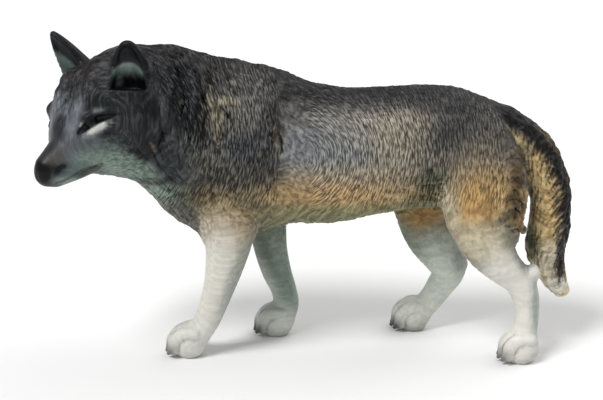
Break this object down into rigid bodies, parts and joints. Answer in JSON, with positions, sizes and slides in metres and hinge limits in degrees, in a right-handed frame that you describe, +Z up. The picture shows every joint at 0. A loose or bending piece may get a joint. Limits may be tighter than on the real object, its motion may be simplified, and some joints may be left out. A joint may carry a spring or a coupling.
{
  "type": "wolf figurine",
  "caption": "Cast standing wolf with its head turned to its left, carved fur and airbrushed paint; decorative, stands on its paws",
  "frame": {"origin": "on the ground under the middle of the bounding box", "axes": "+Z up; the wolf faces -Y and its left side is +X; Y is the longest extent, nose to tail"},
  "size_m": [0.1034, 0.3904, 0.2432],
  "materials": {
    "painted_resin": "satin airbrushed paint over carved fur"
  },
  "bodies": {
    "root": {"wolf": "painted_resin"}
  },
  "joints": []
}
